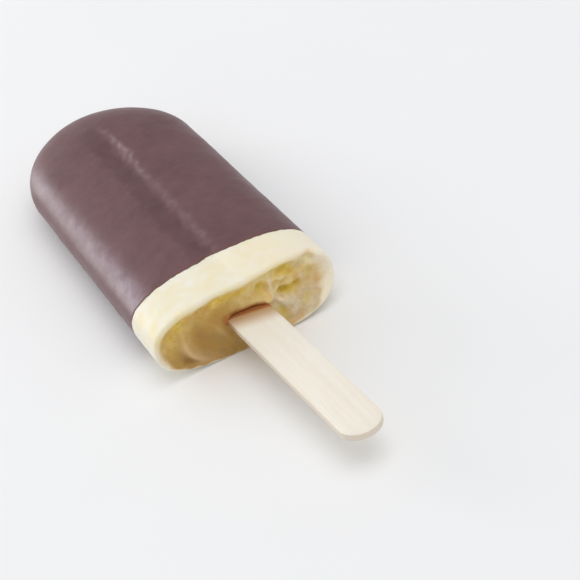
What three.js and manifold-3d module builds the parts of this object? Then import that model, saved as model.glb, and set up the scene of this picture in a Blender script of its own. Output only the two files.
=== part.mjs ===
// An ice lolly: a chocolate layer and a vanilla layer frozen together on a flat wooden stick.
// It lies on one broad face. Millimetres; the origin is under the middle of its whole length.
// +X runs from the rounded tip to the stick, +Y across the width, +Z up.

import * as THREE from 'three';
import { mergeVertices } from 'three/addons/utils/BufferGeometryUtils.js';
import Module from 'manifold-3d';

// Frozen body
const BODY_LENGTH = 96;
const BODY_WIDTH = 46; // at the stick end
const BODY_THICKNESS = 18.3; // at the stick end
const WIDTH_DRAFT = 0.07; // share of the width lost by the tip, so that the mould lets go
const THICKNESS_DRAFT = 0.06; // the same for the thickness
const TIP_LENGTH = 23; // the rounded part
const TIP_POWER = 1.9; // roundness of the tip's outline: 2 is half an ellipse
const FACE_POWER = 2.6; // flatness of the broad faces
const SIDE_POWER = 2.4; // fullness of the sides
const REST_DEPTH = 0.3; // how far the underside is flattened where it lies

// Shallow groove down the middle of both broad faces
const GROOVE_DEPTH = 0.55;
const GROOVE_LEFT_WIDTH = 3; // a gentle wall on the left, from its deepest line
const GROOVE_RIGHT_WIDTH = 1.5; // and a steeper one on the right
const GROOVE_LENGTH = 78; // from the stick end
const GROOVE_FADE = 10; // over which it runs out before the tip
const GROOVE_OFFSET = 0.2; // distance of its deepest line from the middle
const GROOVE_END_SHARE = 0.3; // share of its depth left at the stick end
const GROOVE_END_FROM = 2; // where it starts to deepen again, from the stick end
const GROOVE_END_TO = 14;

// Where vanilla meets chocolate
const VANILLA_LENGTH = 12.8; // at the middle of the upper face
const LAYER_LEAN = 0.022; // mm along X for each mm across
const LAYER_PITCH = 0.025; // mm along X for each mm up
const LAYER_NOTCH = 0.6; // the vanilla's small peak beside the groove
const LAYER_NOTCH_OFFSET = 2;
const LAYER_NOTCH_HALF_WIDTH = 3;
const LAYER_GAP = 0.3;

// Frozen rim at the stick end: a saddle with a slight three-way sway
const RIM_SADDLE = 0.8; // narrow sides set back, broad edges forward
const RIM_SADDLE_TURN = THREE.MathUtils.degToRad(15);
const RIM_SWAY = 0.7;
const RIM_SWAY_TURN = THREE.MathUtils.degToRad(40);
const RIM_TOP_SETBACK = 0.4;
const RIM_DIPS = [ // low places of the rim: turn and half width in degrees, depth
  { turn: 64, wide: 19, depth: 1.3 }, // long sag on the right
  { turn: 43.5, wide: 6.5, depth: 1.7 }, // chip at the corner
  { turn: 101, wide: 9, depth: 0.6 }, // sag left of the groove
];
const RIM_RADIUS = 0.9; // outer edge
const RIM_INSET = 2.3; // outer edge to the foot of its inner slope
const END_RECESS = 0.9; // floor of the end face below the rim
const RIGHT_RISE = 0.4; // the floor climbs by this towards the right-hand side
const RIGHT_RISE_FROM = 14;

// Crags on the end face: place across and up from the middle, half length, half width,
// turn from level in degrees, height (negative for a pit)
const CRAGS = [
  { across: 10.2, up: 0.1, long: 2.1, wide: 1.0, turn: -20, height: -1.7 }, // open pit
  { across: 13.4, up: 0.1, long: 1.0, wide: 0.8, turn: 0, height: -1.0 }, // small pit beside it
  { across: 10.2, up: 3.7, long: 2.5, wide: 0.7, turn: -22, height: 0.9 }, // brow over the pits
  { across: 11.4, up: 5.4, long: 2.6, wide: 1.4, turn: -20, height: -0.9 }, // hollow under the rim
  { across: 6.8, up: 4.0, long: 2.4, wide: 0.8, turn: 88, height: 0.8 }, // upright ridge
  { across: 4.4, up: 4.4, long: 1.3, wide: 1.0, turn: 60, height: -0.9 }, // hollow beside it
  { across: 6.0, up: -0.6, long: 0.8, wide: 0.7, turn: 0, height: -0.5 }, // dent by the stick
  { across: 8.3, up: -1.2, long: 1.3, wide: 1.0, turn: -50, height: 1.1 }, // knob
  { across: 8.5, up: -4.4, long: 2.2, wide: 0.8, turn: -75, height: -0.6 }, // furrow
  { across: 17.0, up: 4.2, long: 1.8, wide: 0.9, turn: -55, height: 0.9 }, // ridge below the chip
  { across: 17.2, up: 0.8, long: 3.0, wide: 1.2, turn: 60, height: -0.4 }, // shallow trough
  { across: 14.4, up: -4.6, long: 2.4, wide: 1.4, turn: 40, height: -0.4 }, // shallow hollow
  { across: -7.0, up: -1.5, long: 4.2, wide: 1.0, turn: -63, height: 0.6 }, // ridge left of the stick
  { across: -11.2, up: -2.0, long: 5.2, wide: 2.2, turn: -76, height: -0.7 }, // trough inside the fold
  { across: -1.0, up: 5.6, long: 2.6, wide: 0.9, turn: 10, height: -0.5 }, // furrow under the rim
  { across: 5.2, up: 1.0, long: 2.0, wide: 1.5, turn: 0, height: 1.7 }, // ice crept up the stick
  { across: 2.4, up: 1.3, long: 3.4, wide: 1.2, turn: 0, height: 0.8 },
  { across: -4.8, up: 0.5, long: 1.3, wide: 0.9, turn: 60, height: 0.9 },
];

// Curled fold on the end face's other half, where the vanilla flowed over itself: arcs about
// one middle, with radius, half width, middle and reach in degrees, and height
const FOLD_ACROSS = -9.3;
const FOLD_UP = -0.6;
const FOLD_ARCS = [
  { radius: 6.6, wide: 0.9, middle: -150, reach: 52, height: 1.0 }, // ridge
  { radius: 8.0, wide: 0.9, middle: -146, reach: 30, height: -0.75 }, // valley outside it
];

// Small frozen lumps, spread by the golden angle over the craggy half
const LUMP_COUNT = 26;
const LUMP_MIDDLE_ACROSS = 12.5;
const LUMP_SPREAD_ACROSS = 8.5;
const LUMP_SPREAD_UP = 6.5;
const LUMP_RADIUS = 0.9;
const LUMP_HEIGHT = 0.3;
const GOLDEN_ANGLE = Math.PI * (3 - Math.sqrt(5));

// Stick
const STICK_LENGTH = 114;
const STICK_WIDTH = 10;
const STICK_THICKNESS = 1.8;
const STICK_SHOWN = 52;
const STICK_END_LENGTH = 4.5; // length of each rounded end
const STICK_EDGE = 0.25; // bevel of its edges
const STICK_BEVEL_STEPS = 2;
const STICK_YAW = THREE.MathUtils.degToRad(2.1); // it was pushed in slightly askew
const STICK_RISE = THREE.MathUtils.degToRad(0.7);
const STICK_DROP = 0.4; // below the middle of the thickness
const SLOT_GAP = 0.3; // round the part that is frozen in
const MOUTH_DEPTH = 1.4; // the slot is open wider near the end face, over the stick's left half
const MOUTH_ABOVE = 0.5;
const MOUTH_WIDTH = 5.5; // from the stick's left-hand edge
const MOUTH_OUT = 5; // how far the mouth's cutter stands out of the end face

// Fineness of the meshes
const AROUND = 96;
const TIP_RINGS = 13;
const CHOCOLATE_RINGS = 12;
const VANILLA_RINGS = 5;
const RIM_STEPS = 3;
const SLOPE_RINGS = 3;
const FLOOR_RINGS = 24;
const FLOOR_CORE = 0.2; // share of the floor's size left to its last ring, round the stick
const WALK_STEPS = 1440; // round the section, to space the facets evenly
const STICK_END_SEGMENTS = 16;

// The frame's origin is under the middle of the whole length
const TIP_X = -(BODY_LENGTH + STICK_SHOWN) / 2;
const END_X = TIP_X + BODY_LENGTH;
const MIDDLE_Z = BODY_THICKNESS / 2 - REST_DEPTH;

const wasm = await Module();
wasm.setup();

const power = (value, exponent) => Math.sign(value) * Math.abs(value) ** exponent;
const bell = (distance) => Math.exp(-distance * distance);
const ease = THREE.MathUtils.smoothstep;

// Degrees from a direction to an angle in radians, the short way round
function degreesFrom(direction, angle) {
  const apart = angle - THREE.MathUtils.degToRad(direction);
  return THREE.MathUtils.radToDeg(Math.atan2(Math.sin(apart), Math.cos(apart)));
}

function bodyHalfWidth(fromEnd) {
  return (BODY_WIDTH / 2) * (1 - (WIDTH_DRAFT * fromEnd) / BODY_LENGTH);
}

function bodyHalfThickness(fromEnd) {
  return (BODY_THICKNESS / 2) * (1 - (THICKNESS_DRAFT * fromEnd) / BODY_LENGTH);
}

function grooveDepth(fromEnd, across) {
  const fade = ease(GROOVE_LENGTH - fromEnd, 0, GROOVE_FADE);
  const deepening = ease(fromEnd, GROOVE_END_FROM, GROOVE_END_TO);
  const share = fade * THREE.MathUtils.lerp(GROOVE_END_SHARE, 1, deepening);
  const halfWidth = across < GROOVE_OFFSET ? GROOVE_LEFT_WIDTH : GROOVE_RIGHT_WIDTH;
  return GROOVE_DEPTH * share * bell((across - GROOVE_OFFSET) / halfWidth);
}

// A point of the body's skin at a distance from the end plane and an angle round the section.
// The section is a superellipse; in the tip both its width and its height close to a point.
function skinPoint(x, angle, inset = 0) {
  const fromEnd = Math.max(0, END_X - x);
  const wide = bodyHalfWidth(fromEnd) - inset;
  const high = bodyHalfThickness(fromEnd) - inset;
  const intoTip = THREE.MathUtils.clamp((fromEnd - (BODY_LENGTH - TIP_LENGTH)) / TIP_LENGTH, 0, 1);
  const outline = wide * (1 - intoTip ** TIP_POWER) ** (1 / TIP_POWER);
  const across = outline * power(Math.cos(angle), 2 / FACE_POWER);
  let rise = high * Math.abs(Math.sin(angle)) ** (2 / SIDE_POWER);
  if (intoTip > 0) {
    const outwards = (intoTip ** TIP_POWER + Math.abs(across / wide) ** TIP_POWER) ** (1 / TIP_POWER);
    rise = high * (1 - Math.min(1, outwards) ** FACE_POWER) ** (1 / SIDE_POWER);
  }
  rise = Math.max(0, rise - grooveDepth(fromEnd, across) * Math.abs(Math.sin(angle)));
  const z = bodyHalfThickness(fromEnd) - REST_DEPTH + Math.sign(Math.sin(angle)) * rise;
  return new THREE.Vector3(x, across, Math.max(0, z));
}

// Distances walked round the section at the stick end, at equal steps of its angle
function walkSection() {
  const walked = [0];
  let last = skinPoint(END_X, 0);
  for (let i = 1; i <= WALK_STEPS; i += 1) {
    const next = skinPoint(END_X, (2 * Math.PI * i) / WALK_STEPS);
    walked.push(walked[i - 1] + next.distanceTo(last));
    last = next;
  }
  return walked;
}

const walked = walkSection();

// The angle at which a share of the way round the section has been walked
function evenAngle(share) {
  const goal = share * walked[WALK_STEPS];
  const after = Math.max(1, walked.findIndex((distance) => distance >= goal));
  const part = (goal - walked[after - 1]) / (walked[after] - walked[after - 1]);
  return (2 * Math.PI * (after - 1 + part)) / WALK_STEPS;
}

// X of the surface where the two layers meet
function layerX(across, z) {
  const notch = LAYER_NOTCH * bell((across - LAYER_NOTCH_OFFSET) / LAYER_NOTCH_HALF_WIDTH);
  return END_X - VANILLA_LENGTH + LAYER_LEAN * across + LAYER_PITCH * (z - MIDDLE_Z) - notch;
}

// How far the rim stands out of the end plane
function rimOut(angle) {
  const saddle = -RIM_SADDLE * Math.cos(2 * angle - RIM_SADDLE_TURN);
  const sway = -RIM_SWAY * Math.cos(3 * angle - RIM_SWAY_TURN);
  const dips = RIM_DIPS.reduce((depth, dip) => {
    return depth + dip.depth * bell(degreesFrom(dip.turn, angle) / dip.wide);
  }, 0);
  return saddle + sway - RIM_TOP_SETBACK * Math.sin(angle) - dips;
}

function crag(across, up, { across: y, up: z, long, wide, turn, height }) {
  const place = new THREE.Vector2(across - y, up - z);
  place.rotateAround(new THREE.Vector2(), -THREE.MathUtils.degToRad(turn));
  return height * bell(Math.hypot(place.x / long, place.y / wide));
}

function lumps(across, up) {
  let height = 0;
  for (let i = 0; i < LUMP_COUNT; i += 1) {
    const reach = Math.sqrt((i + 0.5) / LUMP_COUNT);
    const y = LUMP_MIDDLE_ACROSS + LUMP_SPREAD_ACROSS * reach * Math.cos(i * GOLDEN_ANGLE);
    const z = LUMP_SPREAD_UP * reach * Math.sin(i * GOLDEN_ANGLE);
    const side = i % 2 ? 1 : -1;
    height += side * LUMP_HEIGHT * bell(Math.hypot(across - y, up - z) / LUMP_RADIUS);
  }
  return height;
}

function arc(across, up, { radius, wide, middle, reach, height }) {
  const fromMiddle = new THREE.Vector2(across - FOLD_ACROSS, up - FOLD_UP);
  const away = degreesFrom(middle, fromMiddle.angle());
  return height * bell((fromMiddle.length() - radius) / wide) * bell(away / reach);
}

// Relief of the end face above its floor
function endRelief(across, up) {
  const crags = CRAGS.reduce((height, each) => height + crag(across, up, each), 0);
  const fold = FOLD_ARCS.reduce((height, each) => height + arc(across, up, each), 0);
  return crags + fold + lumps(across, up);
}

// Splits each four-cornered facet of a sphere's grid along its shorter diagonal.
// The grid's first and last rows are plain triangles.
function splitShorter(geometry) {
  const { index } = geometry;
  const { position } = geometry.attributes;
  const corner = (i) => new THREE.Vector3().fromBufferAttribute(position, i);
  for (let i = 3 * AROUND; i < index.count - 3 * AROUND; i += 6) {
    const [a, b, d, , c] = index.array.slice(i, i + 5);
    if (corner(a).distanceTo(corner(c)) < corner(b).distanceTo(corner(d))) {
      index.array.set([a, b, c, a, c, d], i);
    }
  }
}

// A closed skin: the rings of a sphere are moved, one by one, on to the rings given.
// Each ring is a function of the angle; the first and the last are single points.
function skin(rings) {
  const geometry = new THREE.SphereGeometry(1, AROUND, rings.length - 1);
  const { position, uv } = geometry.attributes;
  for (let i = 0; i < position.count; i += 1) {
    const ring = Math.round((1 - uv.getY(i)) * (rings.length - 1));
    const point = rings[ring](evenAngle(1 - uv.getX(i)));
    position.setXYZ(i, point.x, point.y, point.z);
  }
  splitShorter(geometry);
  return geometry;
}

// A ring of the flat-ended stretch, drawn in towards the middle by a share of its size
function layerRing(share, side) {
  return (angle) => {
    const edge = skinPoint(END_X - VANILLA_LENGTH, angle);
    const x = layerX(edge.y, edge.z) + (side * LAYER_GAP) / 2;
    const point = skinPoint(x, angle);
    point.y *= share;
    point.z = MIDDLE_Z + (point.z - MIDDLE_Z) * share;
    point.x = layerX(point.y, point.z) + (side * LAYER_GAP) / 2;
    return point;
  };
}

const LAYER_SHARES = [0, 0.4, 0.75, 1];

function chocolateRings() {
  const rings = [];
  for (let i = 0; i < TIP_RINGS; i += 1) {
    const intoTip = Math.cos((i / TIP_RINGS) * (Math.PI / 2));
    rings.push((angle) => skinPoint(TIP_X + TIP_LENGTH * (1 - intoTip), angle));
  }
  const face = layerRing(1, -1);
  for (let i = 0; i < CHOCOLATE_RINGS; i += 1) {
    const start = TIP_X + TIP_LENGTH;
    const along = i / CHOCOLATE_RINGS;
    rings.push((angle) => skinPoint(THREE.MathUtils.lerp(start, face(angle).x, along), angle));
  }
  const inwards = [...LAYER_SHARES].reverse().map((share) => layerRing(share, -1));
  return [...rings, ...inwards];
}

function rimRing(inset, drop) {
  return (angle) => {
    const x = END_X + rimOut(angle) - drop;
    const point = skinPoint(x, angle, inset);
    point.x = x;
    return point;
  };
}

// The rim's inner slope and the craggy floor: recess and relief set in over the slope
function floorRing(inset, share) {
  const into = ease(inset, RIM_RADIUS, RIM_INSET);
  return (angle) => {
    const foot = skinPoint(END_X, angle, inset);
    const across = foot.y * share;
    const up = (foot.z - MIDDLE_Z) * share;
    const recess = END_RECESS - RIGHT_RISE * ease(across, RIGHT_RISE_FROM, BODY_WIDTH / 2);
    const out = rimOut(angle) * share ** 2 + (endRelief(across, up) - recess) * into;
    return new THREE.Vector3(END_X + out, across, MIDDLE_Z + up);
  };
}

function vanillaRings() {
  const rings = LAYER_SHARES.map((share) => layerRing(share, 1));
  const face = layerRing(1, 1);
  const edge = rimRing(0, RIM_RADIUS);
  for (let i = 1; i < VANILLA_RINGS; i += 1) {
    const along = i / VANILLA_RINGS;
    rings.push((angle) => skinPoint(THREE.MathUtils.lerp(face(angle).x, edge(angle).x, along), angle));
  }
  for (let i = 0; i <= RIM_STEPS; i += 1) {
    const turn = (i / RIM_STEPS) * (Math.PI / 2);
    rings.push(rimRing(RIM_RADIUS * (1 - Math.cos(turn)), RIM_RADIUS * (1 - Math.sin(turn))));
  }
  for (let i = 1; i < SLOPE_RINGS; i += 1) {
    rings.push(floorRing(THREE.MathUtils.lerp(RIM_RADIUS, RIM_INSET, i / SLOPE_RINGS), 1));
  }
  for (let i = 0; i < FLOOR_RINGS; i += 1) {
    rings.push(floorRing(RIM_INSET, THREE.MathUtils.lerp(1, FLOOR_CORE, i / (FLOOR_RINGS - 1))));
  }
  return [...rings, floorRing(RIM_INSET, 0)];
}

// The stick's outline, grown by a margin, extruded to its thickness and centred on its plane
function stickBar(margin, bevel) {
  const half = STICK_WIDTH / 2 + margin - bevel;
  const end = STICK_END_LENGTH + margin - bevel;
  const outline = new THREE.Shape();
  outline.absellipse(STICK_SHOWN - STICK_END_LENGTH, 0, end, half, -Math.PI / 2, Math.PI / 2);
  const buried = STICK_SHOWN - STICK_LENGTH + STICK_END_LENGTH;
  outline.absellipse(buried, 0, end, half, Math.PI / 2, (3 * Math.PI) / 2);
  const depth = STICK_THICKNESS + 2 * margin - 2 * bevel;
  const geometry = new THREE.ExtrudeGeometry(outline, {
    depth,
    curveSegments: STICK_END_SEGMENTS,
    bevelEnabled: bevel > 0,
    bevelSize: bevel,
    bevelThickness: bevel,
    bevelSegments: STICK_BEVEL_STEPS,
  });
  return geometry.translate(0, 0, -depth / 2);
}

function stickPlacement() {
  const place = new THREE.Object3D();
  place.position.set(END_X, 0, MIDDLE_Z - STICK_DROP);
  place.rotation.set(0, -STICK_RISE, STICK_YAW, 'ZYX');
  place.updateMatrix();
  return place;
}

function mouthBlock() {
  const depth = MOUTH_DEPTH + MOUTH_OUT;
  const height = STICK_THICKNESS + MOUTH_ABOVE;
  const block = new THREE.BoxGeometry(depth, MOUTH_WIDTH, height);
  return block.translate(
    (MOUTH_OUT - MOUTH_DEPTH) / 2,
    (MOUTH_WIDTH - STICK_WIDTH) / 2,
    MOUTH_ABOVE / 2,
  );
}

function toManifold(geometry) {
  const bare = new THREE.BufferGeometry();
  bare.setAttribute('position', geometry.attributes.position);
  bare.setIndex(geometry.index);
  const merged = mergeVertices(bare);
  return new wasm.Manifold(
    new wasm.Mesh({
      numProp: 3,
      vertProperties: new Float32Array(merged.attributes.position.array),
      triVerts: new Uint32Array(merged.index.array),
    }),
  );
}

function toGeometry(manifold) {
  const { vertProperties, triVerts } = manifold.getMesh();
  const geometry = new THREE.BufferGeometry();
  geometry.setAttribute('position', new THREE.BufferAttribute(vertProperties, 3));
  geometry.setIndex(new THREE.BufferAttribute(triVerts, 1));
  geometry.computeVertexNormals();
  return geometry;
}

function named(name, geometry, color, roughness) {
  const material = new THREE.MeshStandardMaterial({ color, roughness, metalness: 0 });
  const mesh = new THREE.Mesh(geometry, material);
  mesh.name = name;
  return mesh;
}

const placement = stickPlacement();
const slot = toManifold(stickBar(SLOT_GAP, 0).applyMatrix4(placement.matrix));
const mouth = toManifold(mouthBlock().applyMatrix4(placement.matrix));

const chocolate = toManifold(skin(chocolateRings())).subtract(slot);
const vanilla = toManifold(skin(vanillaRings())).subtract(slot).subtract(mouth);

const stick = named('stick', stickBar(0, STICK_EDGE), 0xeadfca, 0.75);
stick.position.copy(placement.position);
stick.rotation.copy(placement.rotation);

const lolly = new THREE.Group();
lolly.add(named('chocolate_layer', toGeometry(chocolate), 0x785a5c, 0.5));
lolly.add(named('vanilla_layer', toGeometry(vanilla), 0xf4ecd4, 0.6));
lolly.add(stick);

export default lolly;
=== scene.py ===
# %% [markdown]
# # An ice lolly of chocolate and vanilla
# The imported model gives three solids: a chocolate layer, a vanilla layer and a flat stick.
# They are faceted and 0.3 mm apart, as their makers need them. This lesson puts a finely shaped
# piece in the place of each one and gives it a frozen or a wooden finish.
# Sizes are written in millimetres, because that is how a lolly is measured, and turned into
# metres at the moment a mesh is made.

# %% Load the frame
import math

import bmesh
import bpy
import numpy as np
from mathutils import Matrix, Vector, noise


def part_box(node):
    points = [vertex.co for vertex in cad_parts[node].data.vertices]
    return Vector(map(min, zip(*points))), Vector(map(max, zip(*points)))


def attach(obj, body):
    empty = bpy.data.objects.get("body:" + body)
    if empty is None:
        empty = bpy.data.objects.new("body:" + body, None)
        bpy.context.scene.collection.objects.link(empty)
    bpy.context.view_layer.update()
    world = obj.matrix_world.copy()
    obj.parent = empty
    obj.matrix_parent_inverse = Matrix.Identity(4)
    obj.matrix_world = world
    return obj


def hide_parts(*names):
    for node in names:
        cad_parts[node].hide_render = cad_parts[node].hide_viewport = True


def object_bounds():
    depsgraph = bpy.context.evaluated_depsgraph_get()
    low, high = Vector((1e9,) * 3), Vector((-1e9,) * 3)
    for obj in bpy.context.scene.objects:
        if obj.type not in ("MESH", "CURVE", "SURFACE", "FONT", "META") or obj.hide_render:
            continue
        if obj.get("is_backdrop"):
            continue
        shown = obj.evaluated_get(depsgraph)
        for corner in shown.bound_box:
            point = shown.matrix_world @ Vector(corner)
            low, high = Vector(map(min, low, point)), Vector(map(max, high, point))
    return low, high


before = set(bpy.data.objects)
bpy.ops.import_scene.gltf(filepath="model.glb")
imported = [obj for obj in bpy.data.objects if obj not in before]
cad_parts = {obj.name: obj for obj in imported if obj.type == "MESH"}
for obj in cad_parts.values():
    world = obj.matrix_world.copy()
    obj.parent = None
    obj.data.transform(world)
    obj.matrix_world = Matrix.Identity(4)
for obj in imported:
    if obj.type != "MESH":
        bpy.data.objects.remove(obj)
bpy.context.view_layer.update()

MM = 0.001

# %% [markdown]
# ## The mould
# The body is a slab with soft sides that narrows towards its tip, so that it slides out of the
# mould. One formula gives every section: a superellipse, which is flatter on its faces and
# fuller at its corners than an ellipse. Working it out in arrays places a whole ring of points
# at a time. The numbers are the ones that the solids were made from, and the tip's place is read
# from the frame.

# %% The body's sizes
BODY_LENGTH = 96
BODY_WIDTH = 46
BODY_THICKNESS = 18.3
WIDTH_DRAFT = 0.07
THICKNESS_DRAFT = 0.06
TIP_LENGTH = 23
TIP_POWER = 1.9
FACE_POWER = 2.6
SIDE_POWER = 2.4
REST_DEPTH = 0.3
MIDDLE_Z = BODY_THICKNESS / 2 - REST_DEPTH
TIP_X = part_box("chocolate_layer")[0].x / MM
END_X = TIP_X + BODY_LENGTH
print(f"tip at {TIP_X:.1f}, stick end of the body at {END_X:.1f}")

# %% [markdown]
# ## The groove
# A shallow groove runs down the middle of both broad faces. Its left wall is a long slope and its
# right wall a short one. It fades out before the tip and is shallower at the stick end. A bell
# curve gives its section, because that has no corner where it meets the face. Wherever something
# starts or fades, a pair of numbers says from where to where, and `ease` makes the change smooth.

# %% The groove's sizes and depth
GROOVE_DEPTH = 0.55
GROOVE_LEFT_WIDTH = 3.0
GROOVE_RIGHT_WIDTH = 1.5
GROOVE_OFFSET = 0.2
GROOVE_LENGTH = 78
GROOVE_FADE = 10
GROOVE_END_SHARE = 0.3
GROOVE_END_FADE = (2, 14)


def bell(distance):
    """1 at no distance, falling softly to nothing on both sides."""
    return np.exp(-distance * distance)


def ease(value, low, high):
    """0 up to low, 1 from high on, and a smooth step between them."""
    share = np.clip((value - low) / (high - low), 0, 1)
    return share * share * (3 - 2 * share)


def groove_depth(from_end, across):
    fade = ease(GROOVE_LENGTH - from_end, 0, GROOVE_FADE)
    fade = fade * (GROOVE_END_SHARE + (1 - GROOVE_END_SHARE) * ease(from_end, *GROOVE_END_FADE))
    half_width = np.where(across < GROOVE_OFFSET, GROOVE_LEFT_WIDTH, GROOVE_RIGHT_WIDTH)
    return GROOVE_DEPTH * fade * bell((across - GROOVE_OFFSET) / half_width)


print("half way along, the groove is", groove_depth(BODY_LENGTH / 2, GROOVE_OFFSET), "mm deep")

# %% [markdown]
# ## A point on the skin
# `skin_point` takes places along the body and angles round the section. An inset gives the same
# outline drawn inwards, which the rim of the end face needs. The underside is cut off flat where
# it lies on the table.

# %% The skin's formula
def power(value, exponent):
    return np.sign(value) * np.abs(value) ** exponent


def skin_point(x, angle, inset=0.0):
    from_end = np.maximum(0, END_X - x)
    wide = BODY_WIDTH / 2 * (1 - WIDTH_DRAFT * from_end / BODY_LENGTH) - inset
    middle = BODY_THICKNESS / 2 * (1 - THICKNESS_DRAFT * from_end / BODY_LENGTH)
    into_tip = np.clip((from_end - (BODY_LENGTH - TIP_LENGTH)) / TIP_LENGTH, 0, 1)
    outline = wide * (1 - into_tip**TIP_POWER) ** (1 / TIP_POWER)
    across = outline * power(np.cos(angle), 2 / FACE_POWER)
    outwards = (into_tip**TIP_POWER + np.abs(across / wide) ** TIP_POWER) ** (1 / TIP_POWER)
    in_tip = (1 - np.minimum(1, outwards) ** FACE_POWER) ** (1 / SIDE_POWER)
    straight = np.abs(np.sin(angle)) ** (2 / SIDE_POWER)
    rise = (middle - inset) * np.where(into_tip > 0, in_tip, straight)
    rise = np.maximum(0, rise - groove_depth(from_end, across) * np.abs(np.sin(angle)))
    z = middle - REST_DEPTH + np.sign(np.sin(angle)) * rise
    return np.stack([x + 0 * angle, across, np.maximum(0, z)], axis=-1)


print("half way along, the top is at", skin_point(np.array([0.0]), np.array([math.pi / 2]))[0].round(2))

# %% [markdown]
# ## Even spacing
# Equal steps of the formula's angle crowd the corners and leave the faces bare. The distance
# walked round a section is measured once, and points are then set at equal distances.

# %% Angles at equal distances round the section
WALK_STEPS = 3600
walk_angles = np.linspace(0, 2 * math.pi, WALK_STEPS + 1)
walk = skin_point(np.full(WALK_STEPS + 1, END_X), walk_angles)
walked = np.concatenate([[0], np.cumsum(np.linalg.norm(np.diff(walk, axis=0), axis=1))])


def even_angle(share):
    return np.interp(share % 1 * walked[-1], walked, walk_angles)


print(f"once round the body is {walked[-1]:.1f} mm")

# %% [markdown]
# ## Where the layers meet
# The chocolate is poured first and freezes with a level top, and the vanilla follows it. The line
# between them leans a little, has a small peak at the groove, and wavers finely all along,
# because two mixes never part cleanly.

# %% The line between the layers
VANILLA_LENGTH = 12.8
LAYER_LEAN = 0.022
LAYER_PITCH = 0.025
LAYER_PEAK = 1.25
LAYER_PEAK_OFFSET = -0.5
LAYER_PEAK_HALF_WIDTH = 2.4
LAYER_WAVE = 0.22
LAYER_WAVE_SIZE = 1.6


def layer_wave(across, z):
    places = [(y / LAYER_WAVE_SIZE, height / LAYER_WAVE_SIZE, 0) for y, height in zip(across, z)]
    return LAYER_WAVE * np.array([noise.fractal(place, 1, 2, 2) for place in places])


def layer_x(across, z):
    peak = LAYER_PEAK * bell((across - LAYER_PEAK_OFFSET) / LAYER_PEAK_HALF_WIDTH)
    lean = LAYER_LEAN * across + LAYER_PITCH * (z - MIDDLE_Z)
    return END_X - VANILLA_LENGTH + lean - peak + layer_wave(across, z)


print("in the middle of the body, the layers meet at", layer_x(np.zeros(1), np.full(1, MIDDLE_Z)).round(1))

# %% [markdown]
# ## A sphere becomes a slab
# `create_uvsphere` makes a closed ball of rings between two poles. That is also what each layer
# is: rings from one end to the other, closed at both. So the ball's points are kept, with their
# faces, and every ring is moved to its place on the layer. Nothing has to be stitched, and no
# seam or hole can appear.

# %% Move a ball's rings
def ball_to_rings(around, rings):
    """A ball of len(rings) - 1 bands whose rings lie where the functions in rings put them."""
    shape = bmesh.new()
    bands = len(rings) - 1
    bmesh.ops.create_uvsphere(shape, u_segments=around, v_segments=bands, radius=1)
    places = np.array([corner.co for corner in shape.verts])
    ring_of = np.rint(np.arccos(np.clip(places[:, 2], -1, 1)) / math.pi * bands).astype(int)
    share = np.arctan2(places[:, 1], places[:, 0]) / (2 * math.pi)
    angle = even_angle(share)
    for number, ring in enumerate(rings):
        chosen = ring_of == number
        places[chosen] = ring(angle[chosen])
    for corner, place in zip(shape.verts, places):
        corner.co = place
    bmesh.ops.recalc_face_normals(shape, faces=shape.faces)
    shape.normal_update()
    print("a ball of", len(rings), "rings with", around, "points in each")
    return shape, ring_of, angle


# %% [markdown]
# ## The surface between the layers
# Both layers end on the same wavy surface. Its outermost ring is found on the skin, and the rings
# inside it are the same ring drawn in towards the middle.

# %% Rings of the hidden face
LAYER_SHARES = (1, 0.8, 0.5, 0)


def layer_ring(share):
    def ring(angle):
        edge = skin_point(END_X - VANILLA_LENGTH, angle)
        place = skin_point(layer_x(edge[:, 1], edge[:, 2]), angle)
        place[:, 1] *= share
        place[:, 2] = MIDDLE_Z + (place[:, 2] - MIDDLE_Z) * share
        place[:, 0] = layer_x(place[:, 1], place[:, 2])
        return place

    return ring


print("the hidden face has", len(LAYER_SHARES), "rings, the last of them drawn in to a point")

# %% [markdown]
# ## Finishing a piece
# Every piece ends the same way: its mesh is scaled from millimetres to metres, shaded smooth,
# given its finish and tied to the body, and the solid that it stands for is hidden.


def finish_piece(shape, name, node, material):
    bmesh.ops.scale(shape, verts=shape.verts, vec=(MM, MM, MM))
    mesh = bpy.data.meshes.new(name)
    shape.to_mesh(mesh)
    shape.free()
    mesh.shade_smooth()
    piece = bpy.data.objects.new(name, mesh)
    bpy.context.scene.collection.objects.link(piece)
    mesh.materials.append(material)
    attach(piece, "root")
    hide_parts(node)
    print(name, "has", len(mesh.vertices), "points and", len(mesh.polygons), "faces")


# %% [markdown]
# ## Uneven skin
# Nothing that freezes in a mould is perfectly smooth. `roughen` moves each point along its normal
# by a few hundredths of a millimetre of noise, which breaks up the highlights as real ice does.
# `paint` stores a value on each point, which a material can read. That is how the shape tells the
# shader where its hollows, edges and frosted places are.

# %% Noise, rough skin and painted values
def coordinates(shape):
    return np.array([corner.co for corner in shape.verts]).T


def noise_at(size_mm, *places):
    """Noise from about -1 to 1 whose lumps are size_mm across."""
    return np.array([noise.noise(Vector(place) / size_mm) for place in zip(*places)])


def roughen(shape, size_mm, depth_mm):
    shape.normal_update()
    hollow_shades = np.broadcast_to(depth_mm, len(shape.verts))
    for corner, depth in zip(shape.verts, hollow_shades):
        corner.co += corner.normal * noise.fractal(corner.co / size_mm, 1.0, 2.0, 3) * depth


def paint(shape, name, values):
    layer = shape.verts.layers.float.new(name)
    for corner, value in zip(shape.verts, values):
        corner[layer] = float(value)
    print("painted", name, "up to", round(float(np.max(values)), 2))


# %% [markdown]
# ## Shader sums
# A finish is easier to read as sums than as boxes and wires. `Term` wraps one socket, and
# adding, subtracting or multiplying terms adds the Math nodes.

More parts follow.
